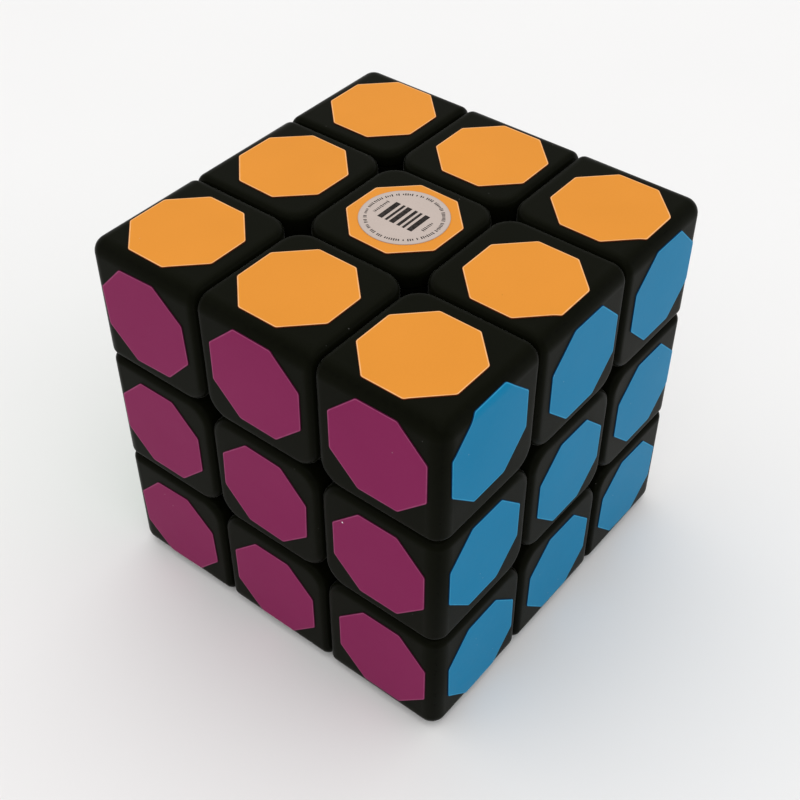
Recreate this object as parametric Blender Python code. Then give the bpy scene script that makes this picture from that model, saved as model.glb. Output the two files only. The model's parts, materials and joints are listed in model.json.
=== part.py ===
"""A 3 x 3 x 3 turning cube puzzle, taken apart into its moulded and metal pieces.

Units are metres and +Z is up.  The origin is the middle of the square that the
puzzle rests on, the front is -Y and the right-hand side is +X.

A cross-shaped core carries one screw on each of its six arms.  Every screw holds
a centre piece, which a spring and a washer press towards the core.  Two sets of
flat cuts and one ball-shaped cut divide everything else: outside the ball the
layers part at MIDDLE_LAYER, inside it they part close to the centre pieces'
columns.  The feet of the edge and corner pieces lie inside the ball, under the
wider blocks outside it, so nothing falls out while any one layer turns.

Each kind of piece is modelled once, about the core's centre, and its copies are
turned into their places.
"""
from itertools import product
from math import cos, pi, sin, sqrt, tan

import bmesh
import bpy
from mathutils import Matrix, Vector

# Overall sizes
CUBE_SIZE = 0.0570            # one side of the whole puzzle
MIDDLE_LAYER = 0.0190         # one middle layer, from cut to cut
LAYER_GAP = 0.0004            # between the pieces of two layers
FIT_GAP = 0.0003              # between two pieces that are fixed together

# Rounded edges of the blocks
OUTER_FILLET = 0.0022         # along the puzzle's own twelve edges
LIP_FILLET = 0.0010           # where an outer face meets a layer cut
DEPTH_FILLET = 0.0035         # along the block edges that run in towards the core
DEPTH_STEPS = 3
OUTER_STEPS = 2

# Feet and the ball-shaped cut that holds them in
NECK_SHARE = 0.562            # where the feet end, from a block's inner corner (0) to a cap (1)
BALL_GAP = 0.0004             # between the feet and the blocks that ride over them
FOOT_DEPTH = 0.0075           # radial thickness of the feet
NECK_OVERLAP = 0.0018         # how far a neck runs out past the ball into its block
BALL_CELLS = 6                # facets along a quarter of the ball

# Corner pieces: an outer shell of three walls on a foot that carries three more
SHELL_WALL = 0.0020
TUB_WALL = 0.0016

# Centre pieces and their caps
BORE_RADIUS = 0.0042          # the well that holds screw, washer and spring
COLUMN_WALL = 0.0012
COLUMN_FLOOR = 0.0020
COLUMN_BEVEL = 0.0006
CAP_THICKNESS = 0.0025
PLUG_LENGTH = 0.0016

# Core
ARM_RADIUS = 0.0037
HUB_SHOULDER = 0.0012         # how far the hub stands out past the arms
HUB_BEVEL = 0.0010
PILOT_DEPTH = 0.0060

# Screws, washers and springs
SHAFT_RADIUS = 0.00135
HEAD_RADIUS = 0.0031
HEAD_HEIGHT = 0.0018
SLOT_WIDTH = 0.0008
SLOT_DEPTH = 0.0010
WASHER_THICKNESS = 0.0006
WASHER_SIDE_GAP = 0.0004
SPRING_LENGTH = 0.0058        # as fitted
SPRING_WIRE = 0.0007
SPRING_TURNS = 4
SPRING_SIDE_GAP = 0.0006
STEPS_PER_TURN = 8
ROUND_STEPS = 12

# Worked out from the sizes above, as distances from the core's centre
HALF = CUBE_SIZE / 2
MIDDLE_END = (MIDDLE_LAYER - LAYER_GAP) / 2
OUTER_START = (MIDDLE_LAYER + LAYER_GAP) / 2
COLUMN_HALF = BORE_RADIUS + COLUMN_WALL
FOOT_START = COLUMN_HALF + LAYER_GAP
CAP_UNDERSIDE = HALF - CAP_THICKNESS
BASE_TOP = CAP_UNDERSIDE - FIT_GAP
INNER_CORNER = sqrt(3) * OUTER_START
FOOT_RADIUS = INNER_CORNER + NECK_SHARE * (BASE_TOP - INNER_CORNER)
FOOT_UNDERSIDE = FOOT_RADIUS - FOOT_DEPTH
BALL_RADIUS = FOOT_RADIUS + BALL_GAP
NECK_END = BALL_RADIUS + NECK_OVERLAP
ARM_END = MIDDLE_END
SPRING_SEAT = OUTER_START + COLUMN_FLOOR
SPRING_TOP = SPRING_SEAT + FIT_GAP + SPRING_LENGTH
WASHER_UNDERSIDE = SPRING_TOP + FIT_GAP
HEAD_UNDERSIDE = WASHER_UNDERSIDE + WASHER_THICKNESS + FIT_GAP
HEAD_TOP = HEAD_UNDERSIDE + HEAD_HEIGHT
SCREW_HOLE = SHAFT_RADIUS + FIT_GAP
PILOT_END = ARM_END - PILOT_DEPTH
FAR = 2 * CUBE_SIZE           # the reach of a cutter that only has to pass right through
MERGE = 0.000001              # corners closer than this are one corner

DIRECTIONS = {
    "top": Vector((0, 0, 1)),
    "bottom": Vector((0, 0, -1)),
    "right": Vector((1, 0, 0)),
    "left": Vector((-1, 0, 0)),
    "front": Vector((0, -1, 0)),
    "back": Vector((0, 1, 0)),
}


# ---------------------------------------------------------------- mesh tools

def as_mesh(bm, name):
    """Close the work on a bmesh and keep it as a triangulated mesh."""
    bmesh.ops.triangulate(bm, faces=bm.faces)
    mesh = bpy.data.meshes.new(name)
    bm.to_mesh(mesh)
    bm.free()
    return mesh


def box(low, high):
    """A box between two opposite corners, as a bmesh."""
    low, high = Vector(low), Vector(high)
    bm = bmesh.new()
    place = Matrix.Translation((low + high) / 2) @ Matrix.Diagonal((*(high - low), 1))
    bmesh.ops.create_cube(bm, size=1.0, matrix=place)
    return bm


def box_mesh(low, high, name="box"):
    return as_mesh(box(low, high), name)


def round_edges(bm, edges, radius, steps):
    bmesh.ops.bevel(bm, geom=edges, offset=radius, segments=steps, profile=0.5,
                    affect="EDGES", offset_type="OFFSET", clamp_overlap=True)


def turned_mesh(profile, name, steps=ROUND_STEPS, start=0.0):
    """Turn a closed outline of (radius, height) points about Z.

    start is the angle of the first outline, in steps.  A tool that cuts another
    turned piece starts half a step round, so that no two corners coincide.
    """
    bm = bmesh.new()
    angle = 2 * pi * start / steps
    verts = [bm.verts.new((radius * cos(angle), radius * sin(angle), height))
             for radius, height in profile]
    radii = dict(zip(verts, (radius for radius, _ in profile)))
    ring = zip(verts, verts[1:] + verts[:1])
    edges = [bm.edges.new(pair) for pair in ring if radii[pair[0]] + radii[pair[1]] > 0]
    bmesh.ops.spin(bm, geom=verts + edges, cent=(0, 0, 0), axis=(0, 0, 1),
                   angle=2 * pi, steps=steps, use_merge=True)
    bmesh.ops.remove_doubles(bm, verts=bm.verts, dist=1e-6)
    bmesh.ops.recalc_face_normals(bm, faces=bm.faces)
    return as_mesh(bm, name)


def ball_mesh(radius, name, outside=False):
    """A ball of near-square facets, the same along all three axes.

    Its corners lie on the radius, or its facets do when outside is set, so that a
    cut made with it never leaves material within the radius.
    """
    bm = bmesh.new()
    bmesh.ops.create_cube(bm, size=2.0)
    bmesh.ops.subdivide_edges(bm, edges=bm.edges, cuts=BALL_CELLS - 1, use_grid_fill=True)
    half_cell = pi / 4 / BALL_CELLS
    if outside:
        radius = radius / cos(half_cell) ** 2
    for vert in bm.verts:
        spread = Vector([tan(pi / 4 * value) for value in vert.co])
        vert.co = spread.normalized() * radius
    return as_mesh(bm, name)


def combine(first, operation, *others):
    """The mesh left after one Boolean of the first mesh with each of the others."""
    target = bpy.data.objects.new("blank", first)
    bpy.context.collection.objects.link(target)
    tools = []
    for other in others:
        tool = bpy.data.objects.new("tool", other)
        bpy.context.collection.objects.link(tool)
        modifier = target.modifiers.new("boolean", "BOOLEAN")
        modifier.operation = operation
        modifier.object = tool
        tools.append(tool)
    graph = bpy.context.evaluated_depsgraph_get()
    result = bpy.data.meshes.new_from_object(target.evaluated_get(graph))
    for item in (target, *tools):
        bpy.data.objects.remove(item)
    bm = bmesh.new()
    bm.from_mesh(result)
    bmesh.ops.remove_doubles(bm, verts=bm.verts, dist=MERGE)
    bmesh.ops.dissolve_degenerate(bm, dist=MERGE, edges=bm.edges)
    return as_mesh(bm, first.name)


def turned_copy(mesh, direction):
    """A copy of a mesh made along +Z, turned to point along a direction."""
    copy = mesh.copy()
    copy.transform(turn_to(direction))
    return copy


def material(name, colour, roughness, metallic=0.0):
    made = bpy.data.materials.new(name)
    made.use_nodes = True
    shader = made.node_tree.nodes["Principled BSDF"]
    shader.inputs["Base Color"].default_value = (*colour, 1.0)
    shader.inputs["Roughness"].default_value = roughness
    shader.inputs["Metallic"].default_value = metallic
    made.diffuse_color = (*colour, 1.0)
    return made


# ---------------------------------------------------------------- placing copies

def turn_to(direction):
    """The turn that takes +Z to one of the six face directions."""
    side = Vector((1, 0, 0)) if direction.x == 0 else Vector((0, 1, 0))
    return Matrix((side, direction.cross(side), direction)).transposed().to_4x4()


def edge_turn(first, second):
    """The turn that takes +Z to the first face's direction and +X to the second's."""
    return Matrix((second, first.cross(second), first)).transposed().to_4x4()


def corner_turn(upright, depth, side):
    """The turn that takes the +X +Y +Z corner to the corner of three faces."""
    if side.cross(depth).dot(upright) < 0:
        side, depth = depth, side
    return Matrix((side, depth, upright)).transposed().to_4x4()


# ---------------------------------------------------------------- the blocks

def block_mesh(outer_axes, name):
    """The rounded block of a corner, an edge or a centre piece.

    outer_axes holds the axes (0, 1, 2) along which the block reaches the
    puzzle's outside.  Along the others it lies in the middle layer.
    """
    low = [OUTER_START if axis in outer_axes else -MIDDLE_END for axis in range(3)]
    high = [HALF if axis in outer_axes else MIDDLE_END for axis in range(3)]
    bm = box(low, high)

    def is_skin(face):
        return all(face.normal[axis] > -0.01 if axis in outer_axes
                   else abs(face.normal[axis]) < 0.01 for axis in range(3))

    def edges_by_skin(count):
        bm.normal_update()
        return [edge for edge in bm.edges
                if sum(is_skin(face) for face in edge.link_faces) == count]

    round_edges(bm, edges_by_skin(0), DEPTH_FILLET, DEPTH_STEPS)
    outer = edges_by_skin(2)
    if outer:
        round_edges(bm, outer, OUTER_FILLET, OUTER_STEPS)
    round_edges(bm, edges_by_skin(1), LIP_FILLET, 1)
    return as_mesh(bm, name)


def foot_mesh(low, high, name):
    """The part of a box that lies within the feet's ring of the ball."""
    blank = box_mesh(low, high)
    blank = combine(blank, "INTERSECT", ball_mesh(FOOT_RADIUS, "ball"))
    hollow = ball_mesh(FOOT_UNDERSIDE, "ball")
    result = combine(blank, "DIFFERENCE", hollow)
    result.name = name
    return result


def corner_meshes():
    """The shell and the foot of a corner piece."""
    block = block_mesh((0, 1, 2), "corner_block")
    inner_face = HALF - SHELL_WALL
    room = box_mesh([OUTER_START - FAR] * 3, [inner_face] * 3)
    shell = combine(block.copy(), "DIFFERENCE", room)
    rim = inner_face - FIT_GAP
    tub = combine(block, "INTERSECT", box_mesh([OUTER_START - FAR] * 3, [rim] * 3))
    tub = combine(tub, "DIFFERENCE", box_mesh([OUTER_START + TUB_WALL] * 3, [FAR] * 3))
    foot = foot_mesh([FOOT_START] * 3, [FAR] * 3, "foot")
    neck = box_mesh([OUTER_START] * 3, [NECK_END / sqrt(3)] * 3)
    return shell, combine(tub, "UNION", foot, neck)


def edge_mesh():
    """An edge piece: its block, its foot, and the neck between them."""
    block = block_mesh((0, 2), "edge_block")
    block = combine(block, "DIFFERENCE", ball_mesh(BALL_RADIUS, "ball", outside=True))
    foot = foot_mesh((FOOT_START, -COLUMN_HALF, FOOT_START), (FAR, COLUMN_HALF, FAR), "foot")
    neck_half = COLUMN_HALF - FIT_GAP
    neck = box_mesh((OUTER_START, -neck_half, OUTER_START),
                    (NECK_END / sqrt(2), neck_half, NECK_END / sqrt(2)))
    return combine(block, "UNION", foot, neck)


def centre_base_mesh():
    """A centre piece without its cap: a block on a hollow column."""
    block = block_mesh((2,), "centre_block")
    below_cap = box_mesh((-FAR, -FAR, -FAR), (FAR, FAR, BASE_TOP))
    block = combine(block, "INTERSECT", below_cap)
    block = combine(block, "DIFFERENCE", ball_mesh(BALL_RADIUS, "ball", outside=True))
    column = box((-COLUMN_HALF, -COLUMN_HALF, OUTER_START),
                 (COLUMN_HALF, COLUMN_HALF, BASE_TOP - FIT_GAP))
    uprights = [edge for edge in column.edges
                if abs(edge.verts[0].co.z - edge.verts[1].co.z) > COLUMN_BEVEL]
    round_edges(column, uprights, COLUMN_BEVEL, 1)
    block = combine(block, "UNION", as_mesh(column, "column"))
    bore = turned_mesh([(0, SPRING_SEAT), (BORE_RADIUS, SPRING_SEAT),
                        (BORE_RADIUS, FAR), (0, FAR)], "bore", start=0.5)
    screw_hole = turned_mesh([(0, 0), (SCREW_HOLE, 0), (SCREW_HOLE, FAR), (0, FAR)],
                             "hole")
    return combine(block, "DIFFERENCE", bore, screw_hole)


def centre_cap_mesh():
    """The snap-in cap over a centre piece's screw: a plate with a ring that plugs the well."""
    block = block_mesh((2,), "cap_block")
    plate = combine(block, "INTERSECT", box_mesh((-FAR, -FAR, CAP_UNDERSIDE), (FAR, FAR, FAR)))
    outer, inner = BORE_RADIUS - FIT_GAP, HEAD_RADIUS + FIT_GAP
    low, high = CAP_UNDERSIDE - PLUG_LENGTH, CAP_UNDERSIDE + CAP_THICKNESS / 2
    plug = turned_mesh([(inner, low), (outer, low), (outer, high), (inner, high)], "plug")
    return combine(plate, "UNION", plug)


# ---------------------------------------------------------------- the core and its metal parts

def core_mesh():
    """The six-armed core, with a pilot hole up each arm."""
    hub_half = ARM_RADIUS + HUB_SHOULDER
    hub = box([-hub_half] * 3, [hub_half] * 3)
    round_edges(hub, list(hub.edges), HUB_BEVEL, 1)
    arm = turned_mesh([(0, 0), (ARM_RADIUS, 0), (ARM_RADIUS, ARM_END), (0, ARM_END)], "arm")
    pilot = turned_mesh([(0, PILOT_END), (SCREW_HOLE, PILOT_END),
                         (SCREW_HOLE, FAR), (0, FAR)], "pilot", start=0.5)
    result = as_mesh(hub, "core")
    for direction in DIRECTIONS.values():
        result = combine(result, "UNION", turned_copy(arm, direction))
    for direction in DIRECTIONS.values():
        result = combine(result, "DIFFERENCE", turned_copy(pilot, direction))
    return result


def screw_mesh():
    """A cheese-head screw with a cross recess; its thread is left plain."""
    tip = PILOT_END + FIT_GAP
    screw = turned_mesh([(0, tip), (SHAFT_RADIUS, tip), (SHAFT_RADIUS, HEAD_UNDERSIDE),
                         (HEAD_RADIUS, HEAD_UNDERSIDE), (HEAD_RADIUS, HEAD_TOP), (0, HEAD_TOP)],
                        "screw")
    reach = HEAD_RADIUS * 0.6
    slots = []
    for along, across in ((reach, SLOT_WIDTH / 2), (SLOT_WIDTH / 2, reach)):
        slots.append(box_mesh((-along, -across, HEAD_TOP - SLOT_DEPTH), (along, across, FAR)))
    return combine(screw, "DIFFERENCE", *slots)


def washer_mesh():
    outer = BORE_RADIUS - WASHER_SIDE_GAP
    top = WASHER_UNDERSIDE + WASHER_THICKNESS
    return turned_mesh([(SCREW_HOLE, WASHER_UNDERSIDE), (outer, WASHER_UNDERSIDE),
                        (outer, top), (SCREW_HOLE, top)], "washer")


def spring_curve():
    """A round-wire compression spring, as a swept helix."""
    radius = BORE_RADIUS - SPRING_SIDE_GAP - SPRING_WIRE / 2
    first = SPRING_SEAT + FIT_GAP + SPRING_WIRE / 2
    rise = SPRING_LENGTH - SPRING_WIRE
    count = SPRING_TURNS * STEPS_PER_TURN
    curve = bpy.data.curves.new("spring", "CURVE")
    curve.dimensions = "3D"
    curve.bevel_depth = SPRING_WIRE / 2
    curve.bevel_resolution = 1
    curve.use_fill_caps = True
    spline = curve.splines.new("POLY")
    spline.points.add(count)
    for step, point in enumerate(spline.points):
        angle = 2 * pi * step / STEPS_PER_TURN
        point.co = (radius * cos(angle), radius * sin(angle), first + rise * step / count, 1)
    return curve


# ---------------------------------------------------------------- the assembly

def place(name, data, finish, turn, parent):
    """Put one piece in its place about the core's centre."""
    piece = bpy.data.objects.new(name, data)
    bpy.context.collection.objects.link(piece)
    piece.parent = parent
    piece.matrix_basis = turn
    if not data.materials:
        data.materials.append(finish)
    return piece


def build():
    for item in list(bpy.data.objects):
        bpy.data.objects.remove(item)

    black = material("black_plastic", (0.016, 0.016, 0.017), 0.42)
    core_black = material("core_plastic", (0.020, 0.020, 0.021), 0.50)
    steel = material("zinc_plated_steel", (0.62, 0.62, 0.60), 0.30, 1.0)
    spring_steel = material("spring_steel", (0.45, 0.45, 0.44), 0.35, 1.0)

    centre = bpy.data.objects.new("core_centre", None)
    centre.location = (0, 0, HALF)
    bpy.context.collection.objects.link(centre)

    place("core", core_mesh(), core_black, Matrix.Identity(4), centre)

    face_pieces = {
        "centre_base": (centre_base_mesh(), black),
        "centre_cap": (centre_cap_mesh(), black),
        "screw": (screw_mesh(), steel),
        "washer": (washer_mesh(), steel),
        "spring": (spring_curve(), spring_steel),
    }
    for face, direction in DIRECTIONS.items():
        for kind, (data, finish) in face_pieces.items():
            place(f"{kind}_{face}", data, finish, turn_to(direction), centre)

    edge = edge_mesh()
    pairs = list(product(("top", "bottom"), ("front", "back", "right", "left")))
    pairs += list(product(("front", "back"), ("right", "left")))
    for first, second in pairs:
        turn = edge_turn(DIRECTIONS[first], DIRECTIONS[second])
        place(f"edge_{first}_{second}", edge, black, turn, centre)

    shell, foot = corner_meshes()
    for names in product(("top", "bottom"), ("front", "back"), ("right", "left")):
        turn = corner_turn(*(DIRECTIONS[name] for name in names))
        place("corner_shell_" + "_".join(names), shell, black, turn, centre)
        place("corner_foot_" + "_".join(names), foot, black, turn, centre)


build()
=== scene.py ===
"""A 3 x 3 x 3 turning cube puzzle, finished for viewing.

The CAD frame gives every block's size and place.  Here the blocks get fine
rounded edges and a satin moulded surface, each outer face gets an eight-sided
vinyl sticker put on by hand, and the top centre gets its round paper label.
"""
import json
import random
from math import cos, pi, radians, sin, sqrt

import bmesh
import bpy
from mathutils import Matrix, Vector

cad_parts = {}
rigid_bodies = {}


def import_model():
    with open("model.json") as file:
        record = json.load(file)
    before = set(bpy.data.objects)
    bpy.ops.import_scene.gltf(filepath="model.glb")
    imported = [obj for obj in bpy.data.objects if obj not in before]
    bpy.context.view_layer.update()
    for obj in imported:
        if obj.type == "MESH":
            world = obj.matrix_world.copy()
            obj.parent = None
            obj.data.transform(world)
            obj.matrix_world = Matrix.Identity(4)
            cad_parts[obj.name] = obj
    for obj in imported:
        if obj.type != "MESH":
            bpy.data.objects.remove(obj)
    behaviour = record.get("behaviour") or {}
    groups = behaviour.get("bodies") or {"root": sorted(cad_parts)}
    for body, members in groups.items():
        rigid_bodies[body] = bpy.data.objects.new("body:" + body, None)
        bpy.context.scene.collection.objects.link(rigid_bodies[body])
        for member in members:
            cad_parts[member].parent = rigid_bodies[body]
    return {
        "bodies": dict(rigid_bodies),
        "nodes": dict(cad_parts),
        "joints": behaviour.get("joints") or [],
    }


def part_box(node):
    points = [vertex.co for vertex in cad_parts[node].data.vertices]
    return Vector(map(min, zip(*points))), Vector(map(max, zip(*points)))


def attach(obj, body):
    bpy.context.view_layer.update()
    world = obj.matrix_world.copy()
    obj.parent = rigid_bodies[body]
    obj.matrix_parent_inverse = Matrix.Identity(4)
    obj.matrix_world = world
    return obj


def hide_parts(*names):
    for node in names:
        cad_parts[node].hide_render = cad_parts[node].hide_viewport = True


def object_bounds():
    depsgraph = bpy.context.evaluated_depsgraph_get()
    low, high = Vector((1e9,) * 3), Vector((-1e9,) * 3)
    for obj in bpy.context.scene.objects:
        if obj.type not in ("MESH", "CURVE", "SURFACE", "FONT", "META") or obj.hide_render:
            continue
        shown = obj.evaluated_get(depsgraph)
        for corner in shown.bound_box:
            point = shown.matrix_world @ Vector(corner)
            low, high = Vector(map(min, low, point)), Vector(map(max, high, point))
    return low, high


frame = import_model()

cad_box = [list(corner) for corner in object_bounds()]

# ---------------------------------------------------------------- sizes read from the frame

LOW, HIGH = (Vector(corner) for corner in cad_box)
CORE = (LOW + HIGH) / 2                         # where the six turning axes meet
HALF = (HIGH.z - LOW.z) / 2                     # from the core to an outer face
X, Y, Z = range(3)
SAME = 0.00002                                  # two places closer than this are one


def reach(node, axis, top=True):
    """How far a node's box reaches from the core along one axis."""
    return (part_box(node)[1 if top else 0] - CORE)[axis]


def corners_at(node, axis, level):
    """A node's corners that lie at one level along an axis, measured from the core."""
    places = [vert.co - CORE for vert in frame["nodes"][node].data.vertices]
    return [place for place in places if abs(place[axis] - level) < SAME]


def radius_about_z(place):
    return sqrt(place.x ** 2 + place.y ** 2)


MIDDLE_END = reach("centre_cap_top", X)         # half the width of a middle block
OUTER_START = reach("corner_shell_top_back_right", X, top=False)
LAYER_GAP = OUTER_START - MIDDLE_END
BASE_TOP = reach("centre_base_top", Z)
CAP_BOTTOM = min(place.z for place in corners_at("centre_cap_top", X, MIDDLE_END))
PLUG_END = reach("centre_cap_top", Z, top=False)
FIT_GAP = CAP_BOTTOM - BASE_TOP                 # between two pieces that are fixed together
TUB_RIM = reach("corner_foot_top_back_right", Z)
SHELL_INSIDE = TUB_RIM + FIT_GAP
FOOT_START = reach("corner_foot_top_back_right", Z, top=False)

top_flat = corners_at("corner_shell_top_back_right", Z, HALF)
inner_wall = corners_at("corner_shell_top_back_right", X, OUTER_START)
OUTER_FILLET = HALF - max(place.x for place in top_flat)
LIP_FILLET = min(place.x for place in top_flat) - OUTER_START
DEPTH_FILLET = min(place.y for place in inner_wall) - OUTER_START

foot_corners = [vert.co - CORE for vert in frame["nodes"]["edge_top_right"].data.vertices
                if vert.co.x - CORE.x < OUTER_START - SAME]
FOOT_RADIUS = max(place.length for place in foot_corners)
FOOT_UNDERSIDE = min(place.length for place in foot_corners)
BALL_RADIUS = FOOT_RADIUS + LAYER_GAP

column_end = corners_at("centre_base_top", Z, OUTER_START)
COLUMN_HALF = max(place.x for place in column_end)
SCREW_HOLE = min(radius_about_z(place) for place in column_end)
BORE_RADIUS = min(radius_about_z(place) for place in corners_at("centre_base_top", Z, BASE_TOP))
BORE_FLOOR = reach("spring_top", Z, top=False) - FIT_GAP
PLUG_OUTSIDE = BORE_RADIUS - FIT_GAP
PLUG_INSIDE = min(radius_about_z(place) for place in corners_at("centre_cap_top", Z, PLUG_END))

# ---------------------------------------------------------------- sizes of the finish

TUB_WALL = 0.0016                               # of the corner pieces' inner mouldings
NECK_SUNK = 0.0018                              # how far a neck runs on into its block
COLUMN_BEVEL = 0.0006
DEPTH_STEPS = 10
OUTER_STEPS = 12
LIP_STEPS = 6
FLAT_BORDER = 0.0004                            # keeps the shading of a flat face even
SHARP = radians(35)                             # a sharper edge than this isn't smoothed
WELD = 1e-6                                     # corners closer than this are made one
BALL_SUBDIVISIONS = 5

STICKER_HALF = 0.00735                          # from the middle to a flat side
STICKER_THICKNESS = 0.00012
STICKER_PITCH = 0.01925                         # between two neighbouring stickers
STICKER_CORNER = 0.00025
STICKER_ROLL = 0.00004                          # the rounding left by the cutting die
STICKER_RIM = 0.00022                           # width of the cut edge's band, painted as a highlight on the stickers
STICKER_SINK = 0.00001                          # into what lies under it
LABEL_RADIUS = 0.0060
LABEL_THICKNESS = 0.00008
LABEL_PLACE = (0.00040, 0.00004)                # off the middle of the top
LABEL_SIDES = 96
RING_RADIUS = 0.00508                           # the label's ring of fine marks
RING_PITCH = 0.00030
RING_GROUP = 8                                  # marks and gaps to one group
GROUP_SHARE = 0.88                              # of a group that is printed
RING_SHARE = 0.90                               # of its marks that came out
ROW_PITCH = 0.00032
LABEL_ROWS = ((-0.0038, 0.0030), (0.0037, 0.0022))      # middle and length
MARK_HEIGHT = 0.00050
MARK_SHARE = 0.55                               # of the pitch that a mark fills
LABEL_STRIPES = ((-0.0025, 0.0008), (-0.0015, 0.0004), (-0.0006, 0.0008),
                 (0.0005, 0.0005), (0.0013, 0.0004), (0.0023, 0.0008))  # middle and width
STRIPE_LENGTH = 0.0040
CHIP_PLACE = (0.0134, -HALF, 0.0041)            # where the ink of a front sticker has come away
CHIP_RADIUS = 0.0002

EDGE_POLISH = 0.10                              # how much smoother handled edges are
VINYL_ROUGHNESS = 0.42

FLOOR_SIZE = 4.0
FLOOR_GAP = 0.00005                             # keeps the floor off the bottom stickers
FAR = 4 * HALF                                  # the reach of a cutter that passes right through

DIRECTIONS = {joint["child"].removesuffix("_centre"): Vector(joint["axis"])
              for joint in frame["joints"] if joint["parent"] == "core"}

# Where the stickers went on out of true: millimetres along the face's own two
# directions, and degrees.  On the other faces they stray at random.
ASTRAY = {
    "top": {(-1, 1): (0.5, 0, 0), (0, 1): (0.6, -0.2, 0), (1, 1): (0.6, -0.7, 0),
            (-1, 0): (0.3, 0.2, -1), (0, 0): (0.5, -0.1, -0.8), (1, 0): (0.6, -0.8, 0),
            (-1, -1): (-0.1, -0.2, 0), (0, -1): (-0.6, 0, 0), (1, -1): (-0.7, -0.3, 0)},
    "front": {(-1, 1): (0, -0.2, 2.7), (0, 1): (0, 0.2, -1), (1, 1): (-0.15, 0.15, 0),
              (-1, 0): (-0.15, -0.2, 0), (0, 0): (-0.2, 0, -2.4), (1, 0): (-0.25, 0, 0),
              (-1, -1): (0.1, -0.3, 2.7), (0, -1): (-0.1, -0.1, 0), (1, -1): (0.1, 0.25, 0)},
    "right": {(-1, 1): (-0.2, 1.0, 1.4), (0, 1): (0.45, -0.45, 0.6), (1, 1): (0.2, 0, 0),
              (-1, 0): (0.1, 0.6, 0), (0, 0): (0.25, -0.35, 0), (1, 0): (0.1, 0.1, 0),
              (-1, -1): (0.7, -0.25, 1.5), (0, -1): (0.1, 0.3, -1), (1, -1): (-0.4, 0.45, -1.9)},
}
STRAY = 0.15                                    # millimetres
STRAY_TURN = 0.6                                # degrees


# ---------------------------------------------------------------- mesh tools

def finished_mesh(bm, name):
    """Turn a bmesh into a smooth-shaded mesh and end it."""
    mesh = bpy.data.meshes.new(name)
    bm.to_mesh(mesh)
    bm.free()
    mesh.shade_smooth()
    mesh.set_sharp_from_angle(angle=SHARP)
    return mesh


def box(low, high):
    """A box between two opposite corners, as a bmesh."""
    low, high = Vector(low), Vector(high)
    bm = bmesh.new()
    place = Matrix.Translation((low + high) / 2) @ Matrix.Diagonal((*(high - low), 1))
    bmesh.ops.create_cube(bm, size=1.0, matrix=place)
    return bm


def box_mesh(low, high):
    return finished_mesh(box(low, high), "box")


def ball_mesh(radius):
    bm = bmesh.new()
    bmesh.ops.create_icosphere(bm, subdivisions=BALL_SUBDIVISIONS, radius=radius)
    return finished_mesh(bm, "ball")


def round_edges(bm, edges, radius, steps):
    bmesh.ops.bevel(bm, geom=edges, offset=radius, segments=steps, profile=0.5,
                    affect="EDGES", offset_type="OFFSET", clamp_overlap=True, material=-1)


def turned_mesh(profile, name, steps=64):
    """Turn a closed outline of (radius, height) points about Z."""
    bm = bmesh.new()
    verts = [bm.verts.new((radius, 0, height)) for radius, height in profile]
    edges = [bm.edges.new(pair) for pair in zip(verts, verts[1:] + verts[:1])
             if pair[0].co.x + pair[1].co.x > 0]
    bmesh.ops.spin(bm, geom=verts + edges, cent=(0, 0, 0), axis=(0, 0, 1),
                   angle=2 * pi, steps=steps, use_merge=True)
    bmesh.ops.remove_doubles(bm, verts=bm.verts, dist=WELD)
    bmesh.ops.recalc_face_normals(bm, faces=bm.faces)
    return finished_mesh(bm, name)


def combine(first, operation, *others):
    """The mesh left after one Boolean of the first mesh with each of the others."""
    target = bpy.data.objects.new("blank", first)
    bpy.context.scene.collection.objects.link(target)
    tools = []
    for other in others:
        tool = bpy.data.objects.new("tool", other)
        bpy.context.scene.collection.objects.link(tool)
        modifier = target.modifiers.new("boolean", "BOOLEAN")
        modifier.operation = operation
        modifier.object = tool
        tools.append(tool)
    graph = bpy.context.evaluated_depsgraph_get()
    result = bpy.data.meshes.new_from_object(target.evaluated_get(graph))
    for item in (target, *tools):
        bpy.data.objects.remove(item)
    bm = bmesh.new()
    bm.from_mesh(result)
    bmesh.ops.remove_doubles(bm, verts=bm.verts, dist=WELD)
    return finished_mesh(bm, first.name)


def mark_rounding(mesh):
    """Keep how far each corner's normal leans off the block's three directions, as "edge"."""
    most = 1 - 1 / sqrt(2)
    marks = mesh.attributes.new("edge", "FLOAT", "POINT")
    for mark, vert in zip(marks.data, mesh.vertices):
        mark.value = min(1.0, (1 - max(abs(part) for part in vert.normal)) / most)
    return mesh


# ---------------------------------------------------------------- the black blocks

def block(outer_axes):
    """The rounded block of a corner, an edge or a centre piece, as a bmesh.

    outer_axes holds the axes along which the block reaches the puzzle's outside.
    Along the others it lies in the middle layer.
    """
    low = [OUTER_START if axis in outer_axes else -MIDDLE_END for axis in range(3)]
    high = [HALF if axis in outer_axes else MIDDLE_END for axis in range(3)]
    bm = box(low, high)

    def is_skin(face):
        return all(face.normal[axis] > -0.01 if axis in outer_axes
                   else abs(face.normal[axis]) < 0.01 for axis in range(3))

    def edges_by_skin(count):
        bm.normal_update()
        return [edge for edge in bm.edges
                if sum(is_skin(face) for face in edge.link_faces) == count]

    round_edges(bm, edges_by_skin(0), DEPTH_FILLET, DEPTH_STEPS)
    outer = edges_by_skin(2)
    if outer:
        round_edges(bm, outer, OUTER_FILLET, OUTER_STEPS)
    round_edges(bm, edges_by_skin(1), LIP_FILLET, LIP_STEPS)
    flats = [face for face in bm.faces if face.calc_area() > LIP_FILLET * MIDDLE_END]
    bmesh.ops.inset_individual(bm, faces=flats, thickness=FLAT_BORDER, use_even_offset=True)
    return bm


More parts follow.
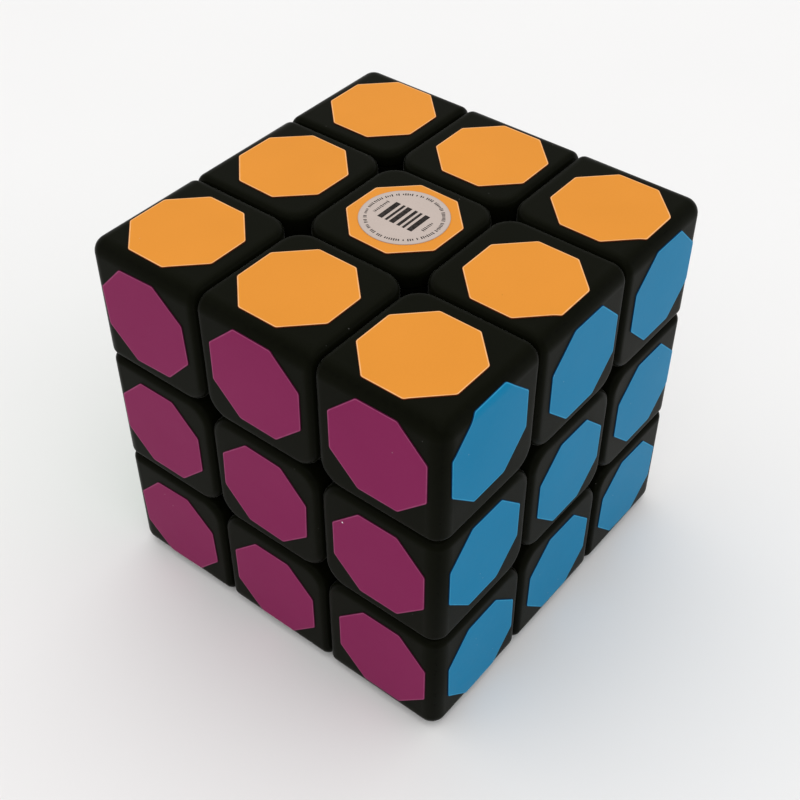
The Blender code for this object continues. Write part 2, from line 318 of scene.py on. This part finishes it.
def foot_mesh(low, high):
    """The part of a box that lies within the feet's ring of the ball."""
    foot = combine(box_mesh(low, high), "INTERSECT", ball_mesh(FOOT_RADIUS))
    return combine(foot, "DIFFERENCE", ball_mesh(FOOT_UNDERSIDE))


def corner_meshes():
    """The shell and the foot of a corner piece."""
    solid = finished_mesh(block((X, Y, Z)), "corner_shell")
    room = box_mesh([OUTER_START - FAR] * 3, [SHELL_INSIDE] * 3)
    shell = combine(solid.copy(), "DIFFERENCE", room)
    tub = combine(solid, "INTERSECT", box_mesh([OUTER_START - FAR] * 3, [TUB_RIM] * 3))
    tub = combine(tub, "DIFFERENCE", box_mesh([OUTER_START + TUB_WALL] * 3, [FAR] * 3))
    neck_end = (BALL_RADIUS + NECK_SUNK) / sqrt(3)
    neck = box_mesh([OUTER_START] * 3, [neck_end] * 3)
    foot = combine(tub, "UNION", foot_mesh([FOOT_START] * 3, [FAR] * 3), neck)
    return mark_rounding(shell), mark_rounding(foot)


def edge_mesh():
    """An edge piece: its block, its foot, and the neck between them."""
    solid = finished_mesh(block((X, Z)), "edge")
    solid = combine(solid, "DIFFERENCE", ball_mesh(BALL_RADIUS))
    foot = foot_mesh((FOOT_START, -COLUMN_HALF, FOOT_START), (FAR, COLUMN_HALF, FAR))
    neck_end = (BALL_RADIUS + NECK_SUNK) / sqrt(2)
    neck_half = COLUMN_HALF - FIT_GAP
    neck = box_mesh((OUTER_START, -neck_half, OUTER_START), (neck_end, neck_half, neck_end))
    return mark_rounding(combine(solid, "UNION", foot, neck))


def slice_off(bm, height, side):
    """Cut away what lies above (side 1) or below (side -1) a height, and close the cut."""
    cut = bmesh.ops.bisect_plane(bm, geom=bm.verts[:] + bm.edges[:] + bm.faces[:],
                                 plane_co=(0, 0, height), plane_no=(0, 0, side), clear_outer=True)
    bmesh.ops.contextual_create(bm, geom=[item for item in cut["geom_cut"]
                                          if isinstance(item, bmesh.types.BMEdge)])


def centre_base_mesh():
    """A centre piece without its cap: a block on a hollow column."""
    bm = block((Z,))
    slice_off(bm, BASE_TOP, 1)
    solid = combine(finished_mesh(bm, "centre_base"), "DIFFERENCE", ball_mesh(BALL_RADIUS))
    column = box((-COLUMN_HALF, -COLUMN_HALF, OUTER_START),
                 (COLUMN_HALF, COLUMN_HALF, BASE_TOP - FIT_GAP))
    uprights = [edge for edge in column.edges
                if abs(edge.verts[0].co.z - edge.verts[1].co.z) > COLUMN_BEVEL]
    round_edges(column, uprights, COLUMN_BEVEL, LIP_STEPS)
    solid = combine(solid, "UNION", finished_mesh(column, "column"))
    bore = turned_mesh([(0, BORE_FLOOR), (BORE_RADIUS, BORE_FLOOR),
                        (BORE_RADIUS, FAR), (0, FAR)], "bore")
    hole = turned_mesh([(0, 0), (SCREW_HOLE, 0), (SCREW_HOLE, FAR), (0, FAR)], "hole", steps=32)
    return mark_rounding(combine(solid, "DIFFERENCE", bore, hole))


def centre_cap_mesh():
    """The snap-in cap over a centre piece's screw: a plate with a ring that plugs the well."""
    bm = block((Z,))
    slice_off(bm, CAP_BOTTOM, -1)
    sunk = (CAP_BOTTOM + HALF) / 2
    ring = turned_mesh([(PLUG_INSIDE, PLUG_END), (PLUG_OUTSIDE, PLUG_END),
                        (PLUG_OUTSIDE, sunk), (PLUG_INSIDE, sunk)], "ring")
    return mark_rounding(combine(finished_mesh(bm, "centre_cap"), "UNION", ring))


# ---------------------------------------------------------------- stickers and label

def cut_film(outline, thickness, roll, rim):
    """Thicken a flat outline into a die-cut film with a rounded upper edge.

    outline is a bmesh of one upward face at height 0.  The "edge" mark is 1 along
    the cut edge and fades to 0 across the rim.
    """
    marks = outline.verts.layers.float.new("edge")
    made = bmesh.ops.extrude_face_region(outline, geom=outline.faces[:])
    bmesh.ops.translate(outline, vec=(0, 0, thickness),
                        verts=[item for item in made["geom"] if isinstance(item, bmesh.types.BMVert)])
    bmesh.ops.reverse_faces(outline, faces=[face for face in outline.faces
                                            if face.calc_center_median().z < thickness / 10])
    bmesh.ops.recalc_face_normals(outline, faces=outline.faces)
    upper_edges = [edge for edge in outline.edges
                   if all(vert.co.z > thickness / 2 for vert in edge.verts)]
    round_edges(outline, upper_edges, roll, 2)
    for vert in outline.verts:
        vert[marks] = 1.0
    top = max(outline.faces, key=lambda face: face.calc_center_median().z)
    for _ in range(2):
        bmesh.ops.inset_individual(outline, faces=[top], thickness=rim, use_even_offset=True)
        for vert in top.verts:
            vert[marks] = 0.0
    return outline


def octagon():
    """The outline of a sticker: eight equal sides with slightly rounded corners."""
    bm = bmesh.new()
    bmesh.ops.create_circle(bm, cap_ends=True, segments=8, radius=STICKER_HALF / cos(pi / 8),
                            matrix=Matrix.Rotation(pi / 8, 4, "Z"))
    bmesh.ops.bevel(bm, geom=bm.verts[:], offset=STICKER_CORNER, segments=3, profile=0.5,
                    affect="VERTICES", offset_type="OFFSET", clamp_overlap=True, material=-1)
    return bm


def drape(bm):
    """Lay a film that reaches past the flat of the cube's face down over the rounded edge."""
    flat = HALF - OUTER_FILLET
    for axis in (X, Y):
        for side in (-1, 1):
            for step in range(4):
                at = [0, 0, 0]
                at[axis] = side * (flat + step * OUTER_FILLET / 8)
                way = [0, 0, 0]
                way[axis] = side
                bmesh.ops.bisect_plane(bm, geom=bm.verts[:] + bm.edges[:] + bm.faces[:],
                                       plane_co=at, plane_no=way)
        for vert in bm.verts:
            over = abs(vert.co[axis]) - flat
            if over > 0:
                angle = over / OUTER_FILLET
                height = OUTER_FILLET + vert.co.z - HALF
                side = 1 if vert.co[axis] > 0 else -1
                vert.co[axis] = side * (flat + height * sin(angle))
                vert.co.z += height * (cos(angle) - 1)


def sticker_mesh(name, place, turn):
    """A sticker on the top face, laid at a place (x, y) and turned."""
    bm = cut_film(octagon(), STICKER_THICKNESS + STICKER_SINK, STICKER_ROLL, STICKER_RIM)
    move = Matrix.Translation((*place, HALF - STICKER_SINK)) @ Matrix.Rotation(turn, 4, "Z")
    bmesh.ops.transform(bm, matrix=move, verts=bm.verts)
    drape(bm)
    return finished_mesh(bm, name)


def label_mesh():
    """The round paper label on the top centre sticker."""
    bm = bmesh.new()
    bmesh.ops.create_circle(bm, cap_ends=True, segments=LABEL_SIDES, radius=LABEL_RADIUS)
    cut_film(bm, LABEL_THICKNESS + STICKER_SINK, STICKER_ROLL / 2, STICKER_RIM / 2)
    bottom = HALF + STICKER_THICKNESS - STICKER_SINK
    bmesh.ops.translate(bm, vec=(*LABEL_PLACE, bottom), verts=bm.verts)
    return finished_mesh(bm, "label")


# ---------------------------------------------------------------- placing copies

def turn_to(direction):
    """The turn that takes +Z to a face's direction and +Y to the way that face is read."""
    upright = Vector((0, 1, 0)) if direction.x == direction.y == 0 else Vector((0, 0, 1))
    return Matrix((upright.cross(direction), upright, direction)).transposed().to_4x4()


def edge_turn(first, second):
    """The turn that takes +Z to the first face's direction and +X to the second's."""
    return Matrix((second, first.cross(second), first)).transposed().to_4x4()


def corner_turn(upright, depth, side):
    """The turn that takes the +X +Y +Z corner to the corner of three faces."""
    if side.cross(depth).dot(upright) < 0:
        side, depth = depth, side
    return Matrix((side, depth, upright)).transposed().to_4x4()


def place(mesh, turn, name, body, finish, slot, *nodes):
    """Put a copy of a mesh in its place, with its body, its finish and the nodes it stands for."""
    data = mesh.copy()
    data.transform(Matrix.Translation(CORE) @ turn)
    data.materials.clear()
    data.materials.append(finish)
    piece = bpy.data.objects.new(name, data)
    bpy.context.scene.collection.objects.link(piece)
    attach(piece, body)
    if nodes:
        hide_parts(*nodes)


# ---------------------------------------------------------------- finishes

class Value:
    """A shader socket that takes part in Python expressions, each adding its Math node."""

    def __init__(self, finish, socket):
        self.finish = finish
        self.socket = socket

    def math(self, operation, first, second=0.0, clamp=False):
        settings = {"operation": operation, "use_clamp": clamp}
        return self.finish.node("Math", settings, {0: first, 1: second})

    def __add__(self, other):
        return self.math("ADD", self, other)

    __radd__ = __add__

    def __sub__(self, other):
        return self.math("SUBTRACT", self, other)

    def __rsub__(self, other):
        return self.math("SUBTRACT", other, self)

    def __mul__(self, other):
        return self.math("MULTIPLY", self, other)

    __rmul__ = __mul__

    def __truediv__(self, other):
        return self.math("DIVIDE", self, other)

    def __rtruediv__(self, other):
        return self.math("DIVIDE", other, self)

    def __gt__(self, other):
        return self.math("GREATER_THAN", self, other)

    def __lt__(self, other):
        return self.math("LESS_THAN", self, other)

    def __abs__(self):
        return self.math("ABSOLUTE", self)

    def clamped(self):
        return self.math("ADD", self, 0.0, clamp=True)

    def floor(self):
        return self.math("FLOOR", self)

    def power(self, exponent):
        return self.math("POWER", self, exponent)


class Finish:
    """One material, built node by node on the piece's own Object coordinates."""

    def __init__(self, name):
        self.material = bpy.data.materials.new(name)
        self.material.use_nodes = True
        self.tree = self.material.node_tree
        self.tree.nodes.clear()
        self.place = self.node("TexCoord", output="Object")

    def node(self, kind, settings=None, inputs=None, output=0):
        """Add a node: first its settings, then its sockets' values or links."""
        made = self.tree.nodes.new("ShaderNode" + kind)
        for key, value in (settings or {}).items():
            if key == "stops":
                self.set_stops(made.color_ramp, value)
            else:
                setattr(made, key, value)
        for key, value in (inputs or {}).items():
            if isinstance(value, Value):
                self.tree.links.new(value.socket, made.inputs[key])
            else:
                made.inputs[key].default_value = value
        return Value(self, made.outputs[output]) if made.outputs else None

    def set_stops(self, ramp, stops):
        while len(ramp.elements) < len(stops):
            ramp.elements.new(1.0)
        for element, (position, grey) in zip(ramp.elements, stops):
            element.position = position
            element.color = (grey, grey, grey, 1.0)

    def noise(self, scale, detail=2.0, roughness=0.5):
        """Noise from 0 to 1 with scale bumps to the metre."""
        return self.node("TexNoise", {}, {"Vector": self.place, "Scale": scale,
                                          "Detail": detail, "Roughness": roughness})

    def ramp(self, value, *stops):
        return self.node("ValToRGB", {"stops": stops}, {"Fac": value})

    def mix(self, amount, first, second):
        """Two colours mixed by an amount from 0 to 1."""
        colours = [value if isinstance(value, Value) else (*value, 1.0) for value in (first, second)]
        return self.node("Mix", {"data_type": "RGBA", "clamp_factor": True},
                         {0: amount, 6: colours[0], 7: colours[1]}, output=2)

    def mark(self, name):
        return self.node("Attribute", {"attribute_name": name}, output="Fac")

    def specks(self, scale, size, share):
        """Scattered round specks: 1 inside a speck, 0 outside."""
        settings = {"feature": "F1"}
        near = self.node("TexVoronoi", settings, {"Vector": self.place, "Scale": scale}, "Distance")
        chosen = self.node("TexVoronoi", settings, {"Vector": self.place, "Scale": scale}, "Color")
        pick = self.node("SeparateColor", {}, {0: chosen})
        return (near < size) * (pick < share)

    def bump(self, height, depth, strength, under=None):
        inputs = {"Height": height, "Distance": depth, "Strength": strength}
        if under:
            inputs["Normal"] = under
        return self.node("Bump", {}, inputs)

    def surface(self, **sockets):
        """The shader itself; the keys are its socket names with _ for a space."""
        inputs = {key.replace("_", " "): value for key, value in sockets.items()}
        shader = self.node("BsdfPrincipled", {}, inputs)
        self.node("OutputMaterial", {}, {"Surface": shader})
        return self.material


def moulded_plastic(name, colour, roughness):
    """Satin moulded plastic: fine grain on the flats, rounded edges darker by painted shade and also
    smoother.
    """
    finish = Finish(name)
    rounding = finish.mark("edge")
    handling = finish.noise(140, 4.0)
    grain = finish.noise(7000, 2.0)
    sink = finish.noise(260, 1.0)
    dust = finish.specks(900, 0.07, 0.05) * finish.ramp(finish.noise(200), (0.45, 0.0), (0.65, 1.0))
    # The rounded edges are darkened as painted shade; the same mask also makes them smoother where
    # rubbed.
    painted_edge_shade_and_rub = rounding * finish.ramp(finish.noise(1200, 3.0), (0.35, 0.5), (0.7, 1.0))
    shade = finish.mix(handling * 0.4, colour, [value * 1.4 for value in colour])
    shade = finish.mix(painted_edge_shade_and_rub * 0.8, shade, [value * 0.5 for value in colour])
    shade = finish.mix(dust * 0.5, shade, (0.16, 0.155, 0.15))
    satin = roughness + (handling - 0.5) * 0.16 - painted_edge_shade_and_rub * EDGE_POLISH + dust * 0.3
    relief = finish.bump(sink, 0.00012, 0.12)
    relief = finish.bump(grain * (1 - painted_edge_shade_and_rub * 0.7), 0.00003, 0.25, relief)
    return finish.surface(Base_Color=shade, Roughness=satin, Normal=relief,
                          Specular_IOR_Level=0.018, Sheen_Weight=0.05, Sheen_Roughness=0.25)


def vinyl(name, colour, rim, side, chips=()):
    """Printed vinyl film: slightly mottled ink, soft orange peel, a painted highlight on the rim and
    painted shade on the cut side.

    chips are small places where the ink has come away, as (place, radius).
    """
    finish = Finish(name)
    cut = finish.mark("edge")
    cloud = finish.noise(90, 3.0)
    ink = finish.noise(3500, 3.0)
    peel = finish.noise(750, 2.0)
    scuffs = finish.noise(60, 5.0, roughness=0.7)
    deep = [value * 0.93 for value in colour]
    light = [min(1.0, value * 1.06 + 0.004) for value in colour]
    shade = finish.mix(cloud * 0.7 + ink * 0.3, deep, light)
    dust = finish.specks(700, 0.06, 0.02)
    shade = finish.mix(dust * 0.3, shade, (0.55, 0.53, 0.50))
    pores = finish.specks(820, 0.07, 0.03)
    shade = finish.mix(pores * 0.35, shade, [value * 0.4 for value in colour])
    for centre, radius in chips:
        gap = finish.node("VectorMath", {"operation": "DISTANCE"},
                          {0: finish.place, 1: centre}, output="Value")
        shade = finish.mix((gap + ink * radius) < radius * 1.4, shade, (0.80, 0.78, 0.78))
    # A paler band along the top of the cut edge, broken up by noise, is a painted highlight.
    wander = finish.ramp(finish.noise(900, 2.0), (0.3, 0.55), (0.6, 1.0))
    shade = finish.mix(finish.ramp(cut, (0.15, 0.0), (0.5, 1.0)) * wander, shade, rim)
    # The sticker's cut side is darkened as painted shade.
    shade = finish.mix(finish.ramp(cut, (0.85, 0.0), (0.98, 1.0)), shade, side)
    satin = VINYL_ROUGHNESS + (scuffs - 0.5) * 0.22 + cut * 0.1
    relief = finish.bump(peel, 0.00005, 0.18)
    relief = finish.bump(ink, 0.00001, 0.2, relief)
    return finish.surface(Base_Color=shade, Roughness=satin, Normal=relief,
                          Specular_IOR_Level=0.05)


def label_paper(name):
    """Coated paper with a ring of fine marks, two short rows of them and a block of stripes."""
    finish = Finish(name)
    centre = CORE + Vector((*LABEL_PLACE, 0))
    here = finish.node("VectorMath", {"operation": "SUBTRACT"}, {0: finish.place, 1: centre})
    split = finish.node("SeparateXYZ", {}, {0: here})
    across, along = (Value(finish, split.socket.node.outputs[axis]) for axis in (X, Y))
    out = (across * across + along * along).power(0.5)
    angle = across.math("ARCTAN2", along, across)

    def marks(step, off_line, seed):
        """Fine upright marks of uneven height along a line, with each one's random number."""
        cell = step.floor()
        pick = finish.node("TexWhiteNoise", {"noise_dimensions": "1D"}, {"W": cell + seed * 1e6})
        inside = abs(off_line) < (pick * 0.5 + 0.6) * (MARK_HEIGHT / 2)
        return inside * ((step - cell) < MARK_SHARE), pick

    def ring():
        step = angle * (RING_RADIUS / RING_PITCH)
        group = step / RING_GROUP
        inked, pick = marks(step, out - RING_RADIUS, RING_RADIUS)
        return inked * (pick < RING_SHARE) * ((group - group.floor()) < GROUP_SHARE)

    def row(middle, length):
        inked, pick = marks(along / ROW_PITCH, across - middle, middle)
        return inked * (abs(along) < length / 2)

    def stripe(middle, width):
        return (abs(across - middle) < width / 2) * (abs(along) < STRIPE_LENGTH / 2)

    printed = ring()
    for middle, length in LABEL_ROWS:
        printed = printed + row(middle, length)
    for middle, width in LABEL_STRIPES:
        printed = printed + stripe(middle, width)
    fibre = finish.noise(2600, 4.0)
    cloud = finish.noise(300, 2.0)
    paper = finish.mix(cloud * 0.6 + fibre * 0.4, (0.46, 0.385, 0.345), (0.52, 0.44, 0.40))
    inked = printed.clamped() * finish.ramp(fibre, (0.2, 0.93), (0.6, 1.0))
    shade = finish.mix(inked, paper, (0.010, 0.007, 0.006))
    # A darker line all round the label's edge is painted shade, for the shadow along its raised edge.
    shade = finish.mix(finish.mark("edge") * 0.6, shade, (0.34, 0.22, 0.16))
    return finish.surface(Base_Color=shade, Roughness=0.48 + fibre * 0.15,
                          Normal=finish.bump(fibre, 0.00002, 0.3), Specular_IOR_Level=0.1)


def plated_steel(name, colour, roughness):
    """Zinc-plated or drawn steel with fine turning marks and a few dull patches."""
    finish = Finish(name)
    patches = finish.noise(500, 3.0)
    marks = finish.noise(9000, 2.0)
    dull = [value * 0.72 for value in colour]
    shade = finish.mix(patches, dull, colour)
    satin = roughness + (patches - 0.5) * 0.2 + (marks - 0.5) * 0.1
    return finish.surface(Base_Color=shade, Roughness=satin, Metallic=1.0,
                          Normal=finish.bump(marks, 0.00001, 0.4))


def floor_finish(name):
    """A plain pale table top."""
    finish = Finish(name)
    cloud = finish.noise(14, 2.0)
    shade = finish.mix(cloud, (0.80, 0.80, 0.805), (0.83, 0.83, 0.835))
    return finish.surface(Base_Color=shade, Roughness=0.6 + cloud * 0.1,
                          Normal=finish.bump(finish.noise(2500), 0.00002, 0.05), IOR=1.4)


# ---------------------------------------------------------------- the puzzle

def build_blocks():
    """The fine black pieces, each in place of its plain one."""
    black = moulded_plastic("black_plastic", (0.0036, 0.0040, 0.0018), 0.36)
    shell, foot = corner_meshes()
    edge = edge_mesh()
    base = centre_base_mesh()
    cap = centre_cap_mesh()
    for body in frame["bodies"]:
        *names, kind = body.split("_")
        ways = [DIRECTIONS[name] for name in names]
        where = "_".join(names)
        if kind == "corner":
            turn = corner_turn(*ways)
            parts = {"corner_shell": shell, "corner_foot": foot}
        elif kind == "edge":
            turn = edge_turn(*ways)
            parts = {"edge": edge}
        elif kind == "centre":
            turn = turn_to(*ways)
            parts = {"centre_base": base, "centre_cap": cap}
        else:
            continue
        for part, mesh in parts.items():
            node = f"{part}_{where}"
            place(mesh, turn, f"fine_{node}", body, black, "black_plastic", node)


def build_stickers():
    """One sticker for each outer face of each block, and the label."""
    chip = (CORE + Vector(CHIP_PLACE), CHIP_RADIUS)
    # Each sticker's colours: its ink, the painted highlight on its rim and the painted shade on its
    # cut side.
    finishes = {
        "top": ("orange", vinyl("sticker_orange", (0.70, 0.262, 0.030), (0.86, 0.46, 0.20),
                                (0.13, 0.025, 0.008))),
        "front": ("magenta", vinyl("sticker_magenta", (0.207, 0.0105, 0.078), (0.30, 0.06, 0.15),
                                   (0.07, 0.004, 0.03), chips=[chip])),
        "right": ("blue", vinyl("sticker_blue", (0.0010, 0.178, 0.352), (0.03, 0.29, 0.50),
                                (0.001, 0.04, 0.12))),
        "left": ("green", vinyl("sticker_green", (0.03, 0.30, 0.10), (0.08, 0.38, 0.17),
                                (0.006, 0.07, 0.025))),
        "back": ("white", vinyl("sticker_white", (0.72, 0.71, 0.69), (0.78, 0.77, 0.75),
                                (0.30, 0.29, 0.27))),
        "bottom": ("yellow", vinyl("sticker_yellow", (0.80, 0.56, 0.05), (0.88, 0.68, 0.20),
                                   (0.30, 0.16, 0.01))),
    }
    chance = random.Random(7)
    for body in frame["bodies"]:
        *names, kind = body.split("_")
        for name in names:
            turn = turn_to(DIRECTIONS[name])
            aside = sum((DIRECTIONS[other] for other in names if other != name), Vector())
            spot = turn.transposed() @ aside
            cell = (round(spot.x), round(spot.y))
            stray = (chance.gauss(0, STRAY), chance.gauss(0, STRAY), chance.gauss(0, STRAY_TURN))
            right, up, twist = ASTRAY.get(name, {}).get(cell, stray)
            where = (cell[0] * STICKER_PITCH + right / 1000, cell[1] * STICKER_PITCH + up / 1000)
            colour, finish = finishes[name]
            mesh = sticker_mesh("sticker", where, radians(twist))
            title = f"{name}_sticker_on_" + "_".join([*names, kind])
            place(mesh, turn, title, body, finish, f"sticker_{colour}")
    place(label_mesh(), turn_to(DIRECTIONS["top"]), "round_label", "top_centre",
          label_paper("label_paper"), "label_paper")


def finish_metalwork():
    """Better finishes for the core, screws, washers and springs, whose shapes stay."""
    finishes = {
        "core": moulded_plastic("core_plastic", (0.010, 0.010, 0.011), 0.50),
        "screw": plated_steel("screw_steel", (0.62, 0.62, 0.60), 0.28),
        "spring": plated_steel("spring_steel", (0.45, 0.45, 0.44), 0.34),
    }
    finishes["washer"] = finishes["screw"]
    for node, piece in frame["nodes"].items():
        finish = finishes.get(node.split("_")[0])
        if finish:
            piece.data.materials.clear()
            piece.data.materials.append(finish)


# ---------------------------------------------------------------- floor, light and camera

def build_floor():
    bm = bmesh.new()
    below = LOW.z - STICKER_THICKNESS - FLOOR_GAP
    bmesh.ops.create_grid(bm, x_segments=8, y_segments=8, size=FLOOR_SIZE / 2,
                          matrix=Matrix.Translation((0, 0, below)))
    floor = bpy.data.objects.new("floor", finished_mesh(bm, "floor"))
    floor.data.materials.append(floor_finish("floor"))
    bpy.context.scene.collection.objects.link(floor)


def add_light(name, azimuth, elevation, distance, size, watts, colour):
    """A square lamp aimed at the cube; azimuth 0 is in front, 90 on the right."""
    around, up = radians(azimuth), radians(elevation)
    way = Vector((sin(around) * cos(up), -cos(around) * cos(up), sin(up)))
    lamp = bpy.data.lights.new(name, "AREA")
    lamp.size = size
    lamp.energy = watts
    lamp.color = colour
    item = bpy.data.objects.new(name, lamp)
    item.location = CORE + way * distance
    item.rotation_mode = "QUATERNION"
    item.rotation_quaternion = (-way).to_track_quat("-Z", "Y")
    bpy.context.scene.collection.objects.link(item)


def light_scene():
    world = bpy.data.worlds.new("room")
    world.use_nodes = True
    background = world.node_tree.nodes["Background"]
    background.inputs["Color"].default_value = (1.0, 0.995, 0.985, 1.0)
    background.inputs["Strength"].default_value = 0.88
    bpy.context.scene.world = world
    bpy.context.scene.view_settings.view_transform = "Standard"
    add_light("ceiling", azimuth=219, elevation=76, distance=1.5, size=1.6, watts=5.2,
              colour=(1.0, 0.99, 0.97))
    add_light("right_fill", azimuth=115, elevation=22, distance=1.0, size=0.8, watts=0.95,
              colour=(0.88, 0.94, 1.0))
    add_light("left_fill", azimuth=-50, elevation=25, distance=1.0, size=0.8, watts=0.6,
              colour=(1.0, 0.86, 0.80))
    add_light("front_fill", azimuth=40, elevation=60, distance=1.2, size=1.0, watts=1.5,
              colour=(1.0, 1.0, 1.0))


def add_camera():
    """The camera looks down on the front and right-hand faces and the top."""
    azimuth, elevation, distance = radians(38.5), radians(42.2), 0.187
    way = Vector((sin(azimuth) * cos(elevation), -cos(azimuth) * cos(elevation), sin(elevation)))
    data = bpy.data.cameras.new("camera")
    data.sensor_width = 36.0
    data.lens = 58.5
    data.clip_start = 0.01
    camera = bpy.data.objects.new("camera", data)
    camera.location = CORE + way * distance
    aim = CORE + Vector((0.0010, -0.0016, -0.0020))
    camera.rotation_mode = "QUATERNION"
    camera.rotation_quaternion = (aim - camera.location).to_track_quat("-Z", "Y")
    bpy.context.scene.collection.objects.link(camera)
    bpy.context.scene.camera = camera


add_camera()
light_scene()
build_floor()
build_blocks()
build_stickers()
finish_metalwork()
